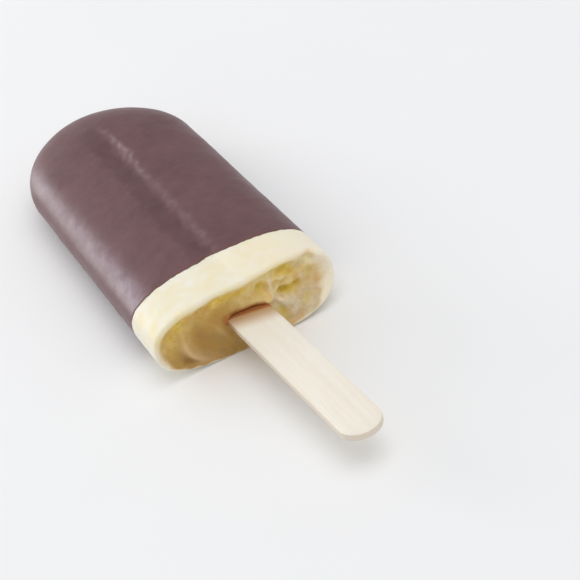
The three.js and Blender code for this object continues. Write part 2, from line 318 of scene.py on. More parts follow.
# %% Terms
class Term:
    """One value in a material, ready to be used in a sum."""

    def __init__(self, finish, socket):
        self.finish, self.socket = finish, socket

    def maths(self, operation, first, second):
        return self.finish.node("ShaderNodeMath", {"operation": operation}, {0: first, 1: second})

    def __add__(self, other):
        return self.maths("ADD", self, other)

    def __radd__(self, other):
        return self.maths("ADD", other, self)

    def __sub__(self, other):
        return self.maths("SUBTRACT", self, other)

    def __rsub__(self, other):
        return self.maths("SUBTRACT", other, self)

    def __mul__(self, other):
        return self.maths("MULTIPLY", self, other)

    def __rmul__(self, other):
        return self.maths("MULTIPLY", other, self)


def screen_colour(red, green, blue):
    """A colour as read off a screen, from 0 to 255, as the linear values that shaders use."""
    shares = [channel / 255 for channel in (red, green, blue)]
    return (*[s / 12.92 if s <= 0.04045 else ((s + 0.055) / 1.055) ** 2.4 for s in shares], 1)


print("middle grey is", round(screen_colour(128, 128, 128)[0], 3), "in linear values")

# %% [markdown]
# ## Finishes
# `Finish.node` makes any node: its settings first, because some change its sockets, then its
# values and links. The other methods are the few nodes that every finish here needs, each under a
# plain name: noise, a smooth step, a mix of two colours, a tint over a colour, a painted value
# and a bump.

# %% The finish class
class Finish:
    """A material with one Principled shader and short ways to feed it."""

    def __init__(self, name, **constants):
        self.material = bpy.data.materials.new(name)
        self.material.use_nodes = True
        self.tree = self.material.node_tree
        self.shader = self.tree.nodes["Principled BSDF"]
        for socket, value in constants.items():
            self.shader.inputs[socket.replace("_", " ")].default_value = value

    def node(self, kind, settings, inputs, output=0):
        made = self.tree.nodes.new(kind)
        for name, value in settings.items():
            setattr(made, name, value)
        for socket, value in inputs.items():
            self.feed(made.inputs[socket], value)
        return Term(self, made.outputs[output])

    def feed(self, socket, value):
        if isinstance(value, Term):
            self.tree.links.new(value.socket, socket)
        else:
            socket.default_value = value

    def give(self, socket, value):
        """Feed one of the shader's own sockets."""
        self.feed(self.shader.inputs[socket], value)

    def place(self, stretch=(1, 1, 1)):
        """Object coordinates in metres, with each direction stretched."""
        coordinates = self.node("ShaderNodeTexCoord", {}, {}, "Object")
        return self.node("ShaderNodeMapping", {}, {"Vector": coordinates, "Scale": stretch})

    def grain(self, size_mm, detail=2, roughness=0.5, stretch=(1, 1, 1), offset=0):
        """Noise between about 0.2 and 0.8 whose lumps are size_mm across."""
        settings = {"noise_dimensions": "4D"}
        values = {"Vector": self.place(stretch), "W": offset, "Scale": 1 / (size_mm * MM),
                  "Detail": detail, "Roughness": roughness}
        return self.node("ShaderNodeTexNoise", settings, values, "Fac")

    def spread(self, value, low, high, to_low=0.0, to_high=1.0):
        """value from low to high, carried smoothly to to_low and to_high."""
        settings = {"interpolation_type": "SMOOTHSTEP"}
        values = {"Value": value, "From Min": low, "From Max": high,
                  "To Min": to_low, "To Max": to_high}
        return self.node("ShaderNodeMapRange", settings, values)

    def blend(self, share, first, second):
        """A colour between two colours."""
        return self.node("ShaderNodeMix", {"data_type": "RGBA"}, {0: share, 6: first, 7: second}, 2)

    def tones(self, share, first, second):
        """A colour between two screen colours."""
        return self.blend(share, screen_colour(*first), screen_colour(*second))

    def cover(self, colour, share, tint):
        """A colour with a tint over it, which is a colour of its own or a screen colour."""
        return self.blend(share, colour, tint if isinstance(tint, Term) else screen_colour(*tint))

    def painted(self, name):
        """A value painted on the mesh's points."""
        return self.node("ShaderNodeAttribute", {"attribute_name": name}, {}, "Fac")

    def bump(self, height, depth_mm):
        values = {"Height": height, "Distance": depth_mm * MM}
        self.give("Normal", self.node("ShaderNodeBump", {}, values))


# %% [markdown]
# ## Chocolate ice
# Frozen chocolate mix is a dull purple brown under a thin bloom of frost. Three sizes of noise
# make it cloudy, mottled and finely speckled. Painted values then lay painted shade on one wall of
# the groove, whiten the frosted places with frost and painted highlight together, and turn it
# warmer where it thins out against the vanilla.

# %% The chocolate finish
def chocolate_finish():
    finish = Finish("chocolate ice", IOR=1.52)
    clouds = finish.grain(14, detail=3, roughness=0.6)
    mottle = finish.grain(3.0, detail=3, roughness=0.6, offset=3)
    specks = finish.grain(0.7, detail=2, roughness=0.6, offset=7)
    cocoa = finish.tones(finish.spread(clouds, 0.3, 0.7), (95, 57, 60), (107, 69, 71))
    cocoa = finish.cover(cocoa, finish.spread(mottle, 0.35, 0.75, 0, 0.35), (118, 82, 86))
    # painted shade on the groove's left wall
    cocoa = finish.cover(cocoa, finish.painted("shade") * 0.6, (78, 42, 46))
    # frost and a painted highlight on the left shoulder, painted sheen on the right edge
    cocoa = finish.cover(cocoa, finish.painted("bloom_and_sheen") * 0.7, (152, 133, 144))
    # frost with a painted highlight on the groove's lit right-hand wall
    cocoa = finish.cover(cocoa, finish.painted("frost_and_highlight") * 0.5, (172, 150, 155))
    cocoa = finish.cover(cocoa, finish.painted("meeting") * 0.6, (112, 62, 44))
    finish.give("Base Color", cocoa)
    finish.give("Roughness", finish.spread(clouds, 0.3, 0.7, 0.36, 0.48))
    finish.bump(mottle * 0.7 + specks * 0.15, 0.15)
    return finish.material


# %% [markdown]
# ## Frost and painted highlight in the groove
# Damp air freezes first on the steep right-hand edge of the groove, as a line of small uneven
# beads. That wall faces the light, so its whitening is also a painted highlight. The line sways,
# swells in places and thins away from the tip. Noise makes all of that, and the result is used
# twice: to raise the beads and to whiten them with frost and painted highlight together.

# %% The frost's sizes and strength
FROST_FROM = 13
FROST_FULL = 25
FROST_THINS = (30, 50)
FROST_THINNING = 0.7
FROST_ENDS = (72, 82)
FROST_ACROSS = 1.8
FROST_SWAY = 0.6
FROST_SWAY_LENGTH = 7
FROST_HALF_WIDTH = 0.75
FROST_SWELL = 0.9
FROST_SWELL_LENGTH = 5
FROST_SWELL_EDGE = (-0.1, 0.5)
FROST_BEAD = 1.7
FROST_BEAD_EDGE = (-0.25, 0.5)
FROST_BETWEEN_BEADS = 0.2
FROST_HEIGHT = 0.14


def frost_and_highlight(x, across):
    """Uneven beads of frost and a painted highlight on the groove's lit right-hand edge, thinning away from
    the tip.
    """
    from_tip = x - TIP_X
    band = ease(from_tip, FROST_FROM, FROST_FULL) * (1 - FROST_THINNING * ease(from_tip, *FROST_THINS))
    band = band * (1 - ease(from_tip, *FROST_ENDS))
    beads = ease(noise_at(FROST_BEAD, x, across, 0 * x), *FROST_BEAD_EDGE)
    middle = FROST_ACROSS + FROST_SWAY * noise_at(FROST_SWAY_LENGTH, x, 0 * x, 0 * x)
    swell = ease(noise_at(FROST_SWELL_LENGTH, x, 0 * x, 0 * x), *FROST_SWELL_EDGE)
    half_width = FROST_HALF_WIDTH * (1 + FROST_SWELL * swell)
    beads = FROST_BETWEEN_BEADS + (1 - FROST_BETWEEN_BEADS) * beads
    return band * bell((across - middle) / half_width) * beads


print("frost lines", FROST_ENDS[1] - FROST_FROM, "mm of the groove")

# %% [markdown]
# ## Painted shade in the groove
# The groove is so shallow that light alone barely shows it. On the real lolly its left wall,
# which leans away from the light, looks a little darker, and here that is painted shade, with a
# ragged outer edge. Two sizes of noise tear the edge, and a third leaves some stretches paler.

# %% The darker wall
SHADE_ACROSS = -2.3
SHADE_HALF_WIDTH = 2.1
SHADE_SOFTNESS = 0.8
SHADE_RAGGED = 1.6
SHADE_TEARS = (4, 1.4)
SHADE_PATCH = 5
SHADE_PATCH_EDGE = (-0.3, 0.3)
SHADE_STARTS = (8, 22)


def groove_shade(x, across):
    """Painted shade on the groove's left wall, which leans away from the light."""
    large, small = [noise_at(size, x, across, 0 * x) for size in SHADE_TEARS]
    beside = np.abs(across - SHADE_ACROSS) + SHADE_RAGGED * (large + small / 2)
    edge = ease(beside, SHADE_HALF_WIDTH - SHADE_SOFTNESS, SHADE_HALF_WIDTH + SHADE_SOFTNESS)
    patches = 0.5 + 0.5 * ease(noise_at(SHADE_PATCH, x, across, 0 * x), *SHADE_PATCH_EDGE)
    return ease(x - TIP_X, *SHADE_STARTS) * patches * (1 - edge)


print("the darker wall is about", 2 * SHADE_HALF_WIDTH, "mm wide")

# %% [markdown]
# ## Bloom and painted highlight on the shoulders
# Frost also dusts the rounded shoulders, where the mould lets go last, and the same paint holds a
# painted highlight. The band on the left, part frost and part painted highlight, grows wider and
# stronger towards the stick, and the right side has a thin painted sheen at its very edge. Noise
# breaks both into patches.

# %% The frosted and highlighted shoulders
BLOOM_FROM_LEFT = 3
BLOOM_HALF_WIDTH = 1.4
BLOOM_STRENGTH = 0.65
BLOOM_GROWS = (24, 79)
BLOOM_INWARDS = 0.6
BLOOM_WIDENING = 0.8
BLOOM_STRENGTHENING = 0.45
# where the painted sheen along the right edge begins and is full
RIGHT_EDGE_SHEEN = (21.6, 22.8)
BLOOM_PATCH = 2.6
BLOOM_PATCH_EDGE = (-0.6, 0.6)


def bloom_and_sheen(x, across, z):
    """Frost and painted highlight on the left shoulder, painted sheen on the right edge, in patches."""
    grown = ease(x - TIP_X, *BLOOM_GROWS)
    from_left = BODY_WIDTH / 2 * (1 - WIDTH_DRAFT * (END_X - x) / BODY_LENGTH) + across
    beside = from_left - BLOOM_FROM_LEFT - BLOOM_INWARDS * grown
    left = bell(beside / (BLOOM_HALF_WIDTH + BLOOM_WIDENING * grown))
    left = left * (BLOOM_STRENGTH + BLOOM_STRENGTHENING * grown)
    cloudy = noise_at(BLOOM_PATCH, x, across, z) + 0.6 * noise_at(BLOOM_PATCH / 3, x, across, z)
    return (left + ease(across, *RIGHT_EDGE_SHEEN)) * (0.5 + 0.5 * ease(cloudy, *BLOOM_PATCH_EDGE))


print("the left band widens to", round(2 * (BLOOM_HALF_WIDTH + BLOOM_WIDENING), 1), "mm near the stick")

# %% [markdown]
# ## The chocolate layer
# Its rings start at the tip, where they lie close together because the surface turns quickly, run
# evenly along the straight part, and close in over the face that the vanilla freezes against.

# %% Shape the chocolate layer
CHOCOLATE_AROUND = 300
TIP_RINGS = 56
CHOCOLATE_RINGS = 134


def tip_ring(number):
    into_tip = math.cos(number / TIP_RINGS * math.pi / 2)
    return lambda angle: skin_point(TIP_X + TIP_LENGTH * (1 - into_tip), angle)


def straight_ring(number):
    start = TIP_X + TIP_LENGTH
    share = number / CHOCOLATE_RINGS
    return lambda angle: skin_point(start + (layer_ring(1)(angle)[:, 0] - start) * share, angle)


chocolate_rings = [tip_ring(number) for number in range(TIP_RINGS)]
chocolate_rings += [straight_ring(number) for number in range(CHOCOLATE_RINGS)]
chocolate_rings += [layer_ring(share) for share in LAYER_SHARES]
chocolate, _, _ = ball_to_rings(CHOCOLATE_AROUND, chocolate_rings)

# %% [markdown]
# ## Its skin
# The values are painted while every point still lies exactly on the formula. The beads are raised
# after that, and the skin is roughened twice: in wide soft waves, and in small lumps that are
# strongest in the groove, where the mix froze last.

# %% Paint, roughen and finish the chocolate
MEETING_WIDTH = 0.7
CHOCOLATE_WAVES = (9, 0.08)
CHOCOLATE_LUMP = 2.4
CHOCOLATE_LUMP_DEPTH = 0.02
GROOVE_LUMP_DEPTH = 0.07

x, across, z = coordinates(chocolate)
on_top = z > MIDDLE_Z
beads = np.where(on_top, frost_and_highlight(x, across), 0)
paint(chocolate, "meeting", bell((x - layer_x(across, z)) / MEETING_WIDTH))
# frost with a painted highlight on the groove's lit right-hand wall
paint(chocolate, "frost_and_highlight", beads)
# painted shade on the groove's left wall, which leans away from the light
paint(chocolate, "shade", np.where(on_top, groove_shade(x, across), 0))
# frost and a painted highlight on the left shoulder, painted sheen on the right edge
paint(chocolate, "bloom_and_sheen", bloom_and_sheen(x, across, z))
for corner, height in zip(chocolate.verts, beads):
    corner.co.z += FROST_HEIGHT * height
roughen(chocolate, *CHOCOLATE_WAVES)
in_groove = groove_depth(END_X - x, across) / GROOVE_DEPTH
roughen(chocolate, CHOCOLATE_LUMP, CHOCOLATE_LUMP_DEPTH + GROOVE_LUMP_DEPTH * in_groove)
finish_piece(chocolate, "chocolate_ice", "chocolate_layer", chocolate_finish())

# %% [markdown]
# ## The rim of the end face
# Mix creeps up the wall of the mould as it freezes, so the open end has a raised rim. It stands
# forward at the broad edges and back at the narrow ones, and a chip is missing at the upper right.
# Its crest is a quarter round outside and a soft slope inside.

# %% The rim's sizes
RIM_SADDLE = 0.8
RIM_SADDLE_TURN = math.radians(15)
RIM_SWAY = 0.7
RIM_SWAY_TURN = math.radians(40)
RIM_TOP_SETBACK = 0.4
CHIP = (40, 9, 1.5)  # turn and half width in degrees, depth
RIM_DIPS = [(64, 19, 1.3), CHIP, (101, 9, 0.6)]
RIM_RADIUS = 0.9
RIM_INSET = 2.3


def rim_out(angle):
    """How far the rim stands out, all the way round."""
    saddle = -RIM_SADDLE * np.cos(2 * angle - RIM_SADDLE_TURN)
    sway = -RIM_SWAY * np.cos(3 * angle - RIM_SWAY_TURN)
    dips = sum(depth * bell((np.degrees(angle) - turn) / width) for turn, width, depth in RIM_DIPS)
    return saddle + sway - RIM_TOP_SETBACK * np.sin(angle) - dips


rim_turns = np.linspace(0, 2 * math.pi, 60)
print("the rim stands between", rim_out(rim_turns).min().round(1), "and", rim_out(rim_turns).max().round(1))

# %% [markdown]
# ## Crags
# The end face is all small accidents: pits with a bridge between them, ridges beside the stick and
# a mound that has crept up against it. Each crag is a bell-shaped swelling or dent with a place, a
# size, a turn and a height, and the face is the sum of them.

# %% The end face's relief
CRAGS = [  # across, up, half length, half width, turn in degrees, height
    (10.2, 0.1, 2.1, 1.0, -20, -1.7),
    (13.4, 0.1, 1.0, 0.8, 0, -1.0),
    (10.2, 3.7, 2.5, 0.7, -22, 0.9),
    (11.4, 5.4, 2.6, 1.4, -20, -0.9),
    (6.8, 4.0, 2.4, 0.8, 88, 0.8),
    (4.4, 4.4, 1.3, 1.0, 60, -0.9),
    (6.0, -0.6, 0.8, 0.7, 0, -0.5),
    (8.3, -1.2, 1.3, 1.0, -50, 1.1),
    (8.5, -4.4, 2.2, 0.8, -75, -0.6),
    (17.0, 4.2, 1.8, 0.9, -55, 0.9),
    (15.0, 5.8, 2.0, 1.0, -30, 0.6),
    (17.6, 6.4, 0.5, 0.4, 0, -0.2),
    (17.2, 0.8, 3.0, 1.2, 60, -0.4),
    (14.4, -4.6, 2.4, 1.4, 40, -0.4),
    (-7.0, -1.5, 4.2, 1.0, -63, 0.6),
    (-11.2, -2.0, 5.2, 2.2, -76, -0.7),
    (-1.0, 5.6, 2.6, 0.9, 10, -0.5),
]
CREEP = [  # the mound of mix that has climbed the stick
    (5.2, 1.0, 2.0, 1.5, 0, 1.7),
    (2.4, 1.3, 3.4, 1.2, 0, 0.8),
    (-4.8, 0.5, 1.3, 0.9, 60, 0.9),
]


def crag(across, up, y, z, half_length, half_width, turn, height):
    cos, sin = math.cos(math.radians(turn)), math.sin(math.radians(turn))
    along = (across - y) * cos + (up - z) * sin
    beside = (up - z) * cos - (across - y) * sin
    return height * bell(np.hypot(along / half_length, beside / half_width))


def spots(across, up, places):
    """The sum of many crags, or of soft patches of a colour with a strength for a height."""
    return sum(crag(across, up, *values) for values in places)


print(len(CRAGS), "crags and", len(CREEP), "that climb the stick")

# %% [markdown]
# ## The fold
# On the left half the mix flowed over itself and froze as a curl: a ridge along an arc, with a
# valley at its outer foot. Both are bells across the arc that fade towards its ends.

# %% A curled ridge and its valley
FOLD_ACROSS = -9.3
FOLD_UP = -0.6
RIDGE = (6.6, 0.9, -150, 52, 1.0)  # radius, half width, middle and reach in degrees, height
VALLEY = (8.0, 0.9, -146, 30, -0.75)
# where the painted highlight along the fold's ridge lies
RIDGE_HIGHLIGHT = (6.5, 1.5, -150, 50, 1.0)


def arc(across, up, radius, half_width, middle, reach, height):
    y, z = across - FOLD_ACROSS, up - FOLD_UP
    away = np.angle(np.exp(1j * (np.arctan2(z, y) - math.radians(middle))), deg=True)
    return height * bell((np.hypot(y, z) - radius) / half_width) * bell(away / reach)


def fold(across, up):
    return arc(across, up, *RIDGE) + arc(across, up, *VALLEY)


print("the ridge of the fold curls at", RIDGE[0], "mm round its middle")

# %% [markdown]
# ## Small lumps
# Lumps cover the craggy half, every second one a dent. They are spread by the golden angle, which
# fills a disc evenly without rows.

# %% Lumps by the golden angle
LUMP_COUNT = 26
LUMP_MIDDLE_ACROSS = 12.5
LUMP_SPREAD_ACROSS = 8.5
LUMP_SPREAD_UP = 6.5
LUMP_RADIUS = 0.9
LUMP_HEIGHT = 0.3
GOLDEN_ANGLE = math.pi * (3 - math.sqrt(5))


def lumps(across, up):
    height = 0
    for number in range(LUMP_COUNT):
        reach = math.sqrt((number + 0.5) / LUMP_COUNT)
        y = LUMP_MIDDLE_ACROSS + LUMP_SPREAD_ACROSS * reach * math.cos(number * GOLDEN_ANGLE)
        z = LUMP_SPREAD_UP * reach * math.sin(number * GOLDEN_ANGLE)
        side = 1 if number % 2 else -1
        height = height + side * LUMP_HEIGHT * bell(np.hypot(across - y, up - z) / LUMP_RADIUS)
    return height


print(LUMP_COUNT, "lumps turn by", round(math.degrees(GOLDEN_ANGLE), 1), "degrees from one to the next")

# %% [markdown]
# ## The stick's mouth
# Above the stick the ice has shrunk back and leaves a narrow gap. A product of smooth steps is 1
# inside the gap and fades out beyond its edge.

# %% The gap round the stick
STICK_HALF_WIDTH = 5
STICK_HALF_THICKNESS = 0.9
STICK_DROP = 0.4
MOUTH_DEPTH = 0.45
MOUTH_ABOVE = 0.5
MOUTH_LEFT = -0.1
MOUTH_SOFTNESS = 0.35


def mouth_share(across, up):
    left = -STICK_HALF_WIDTH - MOUTH_LEFT + MOUTH_SOFTNESS
    top = STICK_HALF_THICKNESS - STICK_DROP + MOUTH_ABOVE - MOUTH_SOFTNESS
    bottom = -STICK_HALF_THICKNESS - STICK_DROP
    beside = ease(across, left - MOUTH_SOFTNESS, left) * ease(-across, -STICK_HALF_WIDTH, 0)
    below_top = ease(-up, -top - MOUTH_SOFTNESS, -top)
    return beside * below_top * ease(up, bottom - MOUTH_SOFTNESS, bottom)


print("the gap is", MOUTH_DEPTH, "mm deep and", MOUTH_ABOVE, "mm wide above the stick")

# %% [markdown]
# ## Rings of the end
# From outside inwards: the round of the rim, the soft slope inside it, then rings that shrink
# towards the middle. The recess and the relief are eased in over the slope, so that no ring shows
# as a line.

# %% Rings of the rim and the floor
END_RECESS = 0.9
RIGHT_RISE = 0.4
RIGHT_RISE_FROM = 14


def end_relief(across, up):
    return spots(across, up, CRAGS + CREEP) + fold(across, up) + lumps(across, up)


def rim_ring(inset, drop):
    def ring(angle):
        x = END_X + rim_out(angle) - drop
        place = skin_point(x, angle, inset)
        place[:, 0] = x
        return place

    return ring


def floor_ring(inset, share):
    def ring(angle):
        foot = skin_point(np.full_like(angle, END_X), angle, inset)
        across = foot[:, 1] * share
        up = (foot[:, 2] - MIDDLE_Z) * share
        into = ease(inset, RIM_RADIUS, RIM_INSET)
        recess = END_RECESS - RIGHT_RISE * ease(across, RIGHT_RISE_FROM, BODY_WIDTH / 2)
        out = rim_out(angle) * share**2 + (end_relief(across, up) - recess) * into
        out = out - MOUTH_DEPTH * mouth_share(across, up)
        return np.stack([END_X + out, across, MIDDLE_Z + up], axis=-1)

    return ring


middle_of_floor = floor_ring(RIM_INSET, 0)(np.zeros(1))[0]
print("the middle of the floor is at", middle_of_floor.round(1))

# %% [markdown]
# ## The vanilla layer
# The rings now run the other way: over the hidden face first, along the short side, round the rim,
# and in over the craggy floor. Each ring's inset is noted, because the colours depend on how far
# in from the edge a point lies.

# %% Shape the vanilla layer
VANILLA_AROUND = 480
VANILLA_RINGS = 36
RIM_STEPS = 8
SLOPE_RINGS = 10
FLOOR_RINGS = 70


def side_ring(number):
    share = number / VANILLA_RINGS
    edge = rim_ring(0, RIM_RADIUS)

    def ring(angle):
        start = layer_ring(1)(angle)[:, 0]
        return skin_point(start + (edge(angle)[:, 0] - start) * share, angle)

    return ring


vanilla_rings = [layer_ring(share) for share in reversed(LAYER_SHARES)]
vanilla_rings += [side_ring(number) for number in range(1, VANILLA_RINGS)]
insets = [0.0] * len(vanilla_rings)
for step in range(RIM_STEPS):
    turn = step / RIM_STEPS * math.pi / 2
    insets.append(RIM_RADIUS * (1 - math.cos(turn)))
    vanilla_rings.append(rim_ring(insets[-1], RIM_RADIUS * (1 - math.sin(turn))))
for step in range(SLOPE_RINGS):
    insets.append(RIM_RADIUS + (RIM_INSET - RIM_RADIUS) * step / SLOPE_RINGS)
    vanilla_rings.append(floor_ring(insets[-1], 1))
for step in range(FLOOR_RINGS + 1):
    insets.append(RIM_INSET + (BODY_THICKNESS / 2 - RIM_INSET) * step / FLOOR_RINGS)
    vanilla_rings.append(floor_ring(RIM_INSET, 1 - step / FLOOR_RINGS))
vanilla, ring_of, angle = ball_to_rings(VANILLA_AROUND, vanilla_rings)

# %% [markdown]
# ## Where the end face begins
# The smooth sides are pale and the rough end is golden. One turns into the other on the rim, not
# along a clean line: further in at the right, further out at the chip, softly above and quickly
# below. The sine and cosine of a point's angle say how far round the rim it lies. `on_face` is 0
# on the sides and 1 on the end, and all the colours of the end are multiplied by it.

# %% Paint the end face
FACE_EDGE = -0.1
FACE_EDGE_RIGHT = 1.6
FACE_EDGE_ABOVE = 0.4
FACE_EDGE_BELOW_RIGHT = 0.5
FACE_EDGE_CHIP = 1.4
FACE_EDGE_RAGGED = 0.5
FACE_EDGE_TEAR = 2.2
FACE_SOFTNESS = 2.2
FACE_SOFTNESS_RIGHT = 0.3
FACE_SOFTNESS_BELOW = 1.1
RIGHT_TURN = (0.6, 1)
TOP_TURN = (0.2, 0.8)
BOTTOM_TURN = (0.2, 0.7)
LOWER_RIGHT_TURN = (0.1, 0.5)
CHIP_REACH = (0.3, 1.6)

x, across, z = coordinates(vanilla)
up = z - MIDDLE_Z
inset = np.array(insets)[ring_of]
cos, sin = np.cos(angle), np.sin(angle)
rightwards = ease(cos, *RIGHT_TURN)
behind_rim = END_X + rim_out(angle) - x
chip = bell((np.degrees(angle) - CHIP[0]) / CHIP[1]) * (1 - ease(behind_rim, *CHIP_REACH))
face_from = FACE_EDGE + FACE_EDGE_RIGHT * rightwards - FACE_EDGE_CHIP * chip
face_from = face_from + FACE_EDGE_RAGGED * noise_at(FACE_EDGE_TEAR, x, across, z)
face_from = face_from + FACE_EDGE_ABOVE * ease(sin, *TOP_TURN)
below_right = ease(-sin, *LOWER_RIGHT_TURN) * ease(cos, *LOWER_RIGHT_TURN)
face_from = face_from + FACE_EDGE_BELOW_RIGHT * below_right
softness = FACE_SOFTNESS - FACE_SOFTNESS_RIGHT * rightwards
softness = softness - FACE_SOFTNESS_BELOW * ease(-sin, *BOTTOM_TURN)
on_face = ease(inset, face_from, face_from + softness)
paint(vanilla, "face", on_face)

# %% [markdown]
# ## The colours of the sides
# Light that has passed through the broad middle comes out a little warmer on the right. A thin
# straw-coloured line runs along the upper edge, where the side turns over into the rim.

# %% Paint the sides
WARMTH = (-6, 12)
STRAW_ABOVE = (0, 0.5)
STRAW_NOT_RIGHT = (0.3, 0.8)
STRAW_HALF_WIDTH = 0.8

paint(vanilla, "warmth", ease(across, *WARMTH))
straw = ease(sin, *STRAW_ABOVE) * (1 - ease(cos, *STRAW_NOT_RIGHT))
straw = straw * ease(inset, face_from - STRAW_HALF_WIDTH, face_from + STRAW_HALF_WIDTH)
paint(vanilla, "straw", straw)

# %% [markdown]
# ## Painted shade in hollows, painted highlights on crests
# Ice is clear enough that a hollow looks deep yellow and a thin crest nearly white. So the relief
# that shaped the face also colours it: painted shade deepens the hollows, a painted highlight
# whitens the crests, and a broad painted highlight lies along the ridge of the fold. The small
# lumps count a little less here, and crests on the denser left half stay darker.

# %% Paint the relief
LUMP_COLOUR_SHARE = 0.7
HOLLOW_DEPTHS = (0.0, 1.0)
CREST_HEIGHTS = (0.1, 0.9)
LEFT_HALF = (0, 6)
LEFT_CREST_LOSS = 0.55

left_half = ease(-across, *LEFT_HALF)
relief = spots(across, up, CRAGS) + LUMP_COLOUR_SHARE * lumps(across, up) + fold(across, up)
# painted shade in the hollows
paint(vanilla, "hollow_shade", on_face * ease(-relief, *HOLLOW_DEPTHS))
# painted highlight on the crests
paint(vanilla, "crest_highlight", on_face * ease(relief, *CREST_HEIGHTS) * (1 - LEFT_CREST_LOSS * left_half))
# painted highlight along the ridge of the fold
paint(vanilla, "ridge", on_face * arc(across, up, *RIDGE_HIGHLIGHT))

# %% [markdown]
# ## Regions and painted shade of the end face
# The left half is deeper in colour, and painted shade darkens it most away from its rim, where
# the face lies deepest. Painted shade also darkens everything low down, where less light reaches.
# The right edge is tan, and it is paler below the pits.

# %% Paint the regions
INNER_SHADE_SIDE = (-1, 6)
INNER_SHADE_INSET = (2.4, 6)
LOW_DOWN = (-3, 8)
LOW_SIDE = (-2, 6)
LOW_LEAST = 0.35
TAN_SIDE = (11.5, 14.5)
PALE_SIDE = (7, 11)
PALE_BELOW = (1, 3)
PALES = [(8.0, -0.8, 2.8, 2.2, -40, 1)]

paint(vanilla, "left", on_face * left_half)
# painted shade on the left half, strongest away from the rim
paint(vanilla, "inner_shade", on_face * ease(-across, *INNER_SHADE_SIDE) * ease(inset, *INNER_SHADE_INSET))
# painted shade low down, where less light reaches the face
low = LOW_LEAST + (1 - LOW_LEAST) * ease(-across, *LOW_SIDE)
paint(vanilla, "low", on_face * ease(-up, *LOW_DOWN) * low)
paint(vanilla, "tan", on_face * ease(across, *TAN_SIDE))
pale = spots(across, up, PALES) + ease(across, *PALE_SIDE) * ease(-up, *PALE_BELOW)
paint(vanilla, "pale", on_face * np.minimum(1, pale))

# %% [markdown]
# ## Patches
# What is left is local: painted gold under the upper rim, for the shade there that light shining
# in through the thin edge turns gold, and spots of amber, brown and cream, the cream being painted
# light that lifts the shade under the rim and on its inner walls. A spot is a crag again, with a
# strength for its height.

# %% Paint the patches
AMBERS = [  # across, up, half length, half width, turn in degrees, strength
    (18.6, -1.6, 2.4, 1.2, 70, 0.7),
    (17.6, 6.9, 1.6, 0.8, -30, 0.6),
    (14.2, 6.0, 1.3, 0.9, 0, 0.6),
    (-9.7, 5.6, 2.0, 1.0, 10, 0.5),
]
BROWNS = [
    (-11.9, -0.5, 1.8, 1.4, 30, 0.5),
    (-8.0, 1.5, 2.4, 1.2, 60, 0.3),
    (-17.5, -2.5, 1.6, 1.2, 0, 0.3),
    (17.5, 6.8, 0.5, 0.4, 0, 0.7),
]
# cream patches of painted light that lift the shade under the rim and on its inner walls
CREAM_LIGHTS = [
    (16.4, 4.8, 3.0, 1.6, -35, 0.9),
    (4.4, 6.6, 4.0, 1.0, -8, 0.6),
    (14.0, 6.7, 2.6, 0.9, -22, 0.7),
    (21.0, 0.6, 2.2, 0.9, 80, 0.7),
    (-21.4, 1.2, 3.2, 1.1, 80, 0.4),
]
# patches of painted gold for the shade under the upper rim
GLOWS = [
    (11.0, 4.8, 3.6, 1.6, -20, 0.9),
    (4.6, 3.8, 1.5, 1.2, 60, 0.6),
    (-3.6, 6.2, 2.4, 1.0, -8, 0.9),
]
GLOW_PATCH = 3.2
GLOW_PATCH_EDGE = (-0.35, 0.35)
GLOW_ABOVE = (0.1, 0.5)
GLOW_STARTS = (0.8, 2.4)
GLOW_ENDS = (2.6, 5)

# spots of amber and brown, and cream spots of painted light over the rim's shade
for name, places in (("amber", AMBERS), ("brown", BROWNS), ("cream_light", CREAM_LIGHTS)):
    paint(vanilla, name, on_face * spots(across, up, places))
# painted gold under the upper rim: shade lit through the thin edge
glow = ease(noise_at(GLOW_PATCH, x, across, z), *GLOW_PATCH_EDGE) * ease(sin, *GLOW_ABOVE)
glow = glow * ease(inset, *GLOW_STARTS) * (1 - ease(inset, *GLOW_ENDS))
paint(vanilla, "glow", on_face * np.minimum(1, glow + spots(across, up, GLOWS)))

# %% [markdown]
# ## Painted shade round the stick
# Painted shade lies round the stick: a brown line close to it, and a wide weak shade that reaches
# a little further on the left. Both are worked out from the distance to the stick's section.

# %% Paint the shade round the stick
GAP_SHADE_UP = 0.4
GAP_SHADE_LEFT_SQUEEZE = 1.3
GAP_SHADE_RIGHT_SQUEEZE = 2.5
GAP_SHADE_RIGHT_FROM = STICK_HALF_WIDTH - 1
GAP_SHADE_LEFT_REACH = 0.2
GAP_SHADE_LEFT = (0, 4)
GAP_SHADE_WIDE = (0.2, 2.4)
GAP_SHADE_CLOSE = (0.6, 1.5)

beside = GAP_SHADE_LEFT_SQUEEZE * np.maximum(0, -across - STICK_HALF_WIDTH)
beside = beside + GAP_SHADE_RIGHT_SQUEEZE * np.maximum(0, across - GAP_SHADE_RIGHT_FROM)
gap = np.hypot(beside, up - GAP_SHADE_UP) / (1 + GAP_SHADE_LEFT_REACH * ease(-across, *GAP_SHADE_LEFT))
# painted shade round the stick: wide and weak, then a brown line close to it
paint(vanilla, "wide_gap_shade", on_face * (1 - ease(gap, *GAP_SHADE_WIDE)))
paint(vanilla, "close_gap_shade", on_face * (1 - ease(gap, *GAP_SHADE_CLOSE)))
print("the stain reaches", round(float(np.abs(across[(gap < 1) & (on_face > 0.5)]).max()), 1), "mm sideways")

# %% [markdown]
# ## The colour of the moulded sides
# The sides of the vanilla are smooth, pale and faintly cloudy. Only the painted warmth and the
# straw line change them.

# %% The sides' colour
def side_colour(finish):
    clouds = finish.grain(7, detail=3, roughness=0.55)
    side = finish.tones(finish.spread(clouds, 0.35, 0.7), (245, 241, 230), (243, 234, 208))
    side = finish.cover(side, finish.painted("warmth"), (249, 238, 215))
    return finish.cover(side, finish.painted("straw") * 0.8, (241, 226, 170))


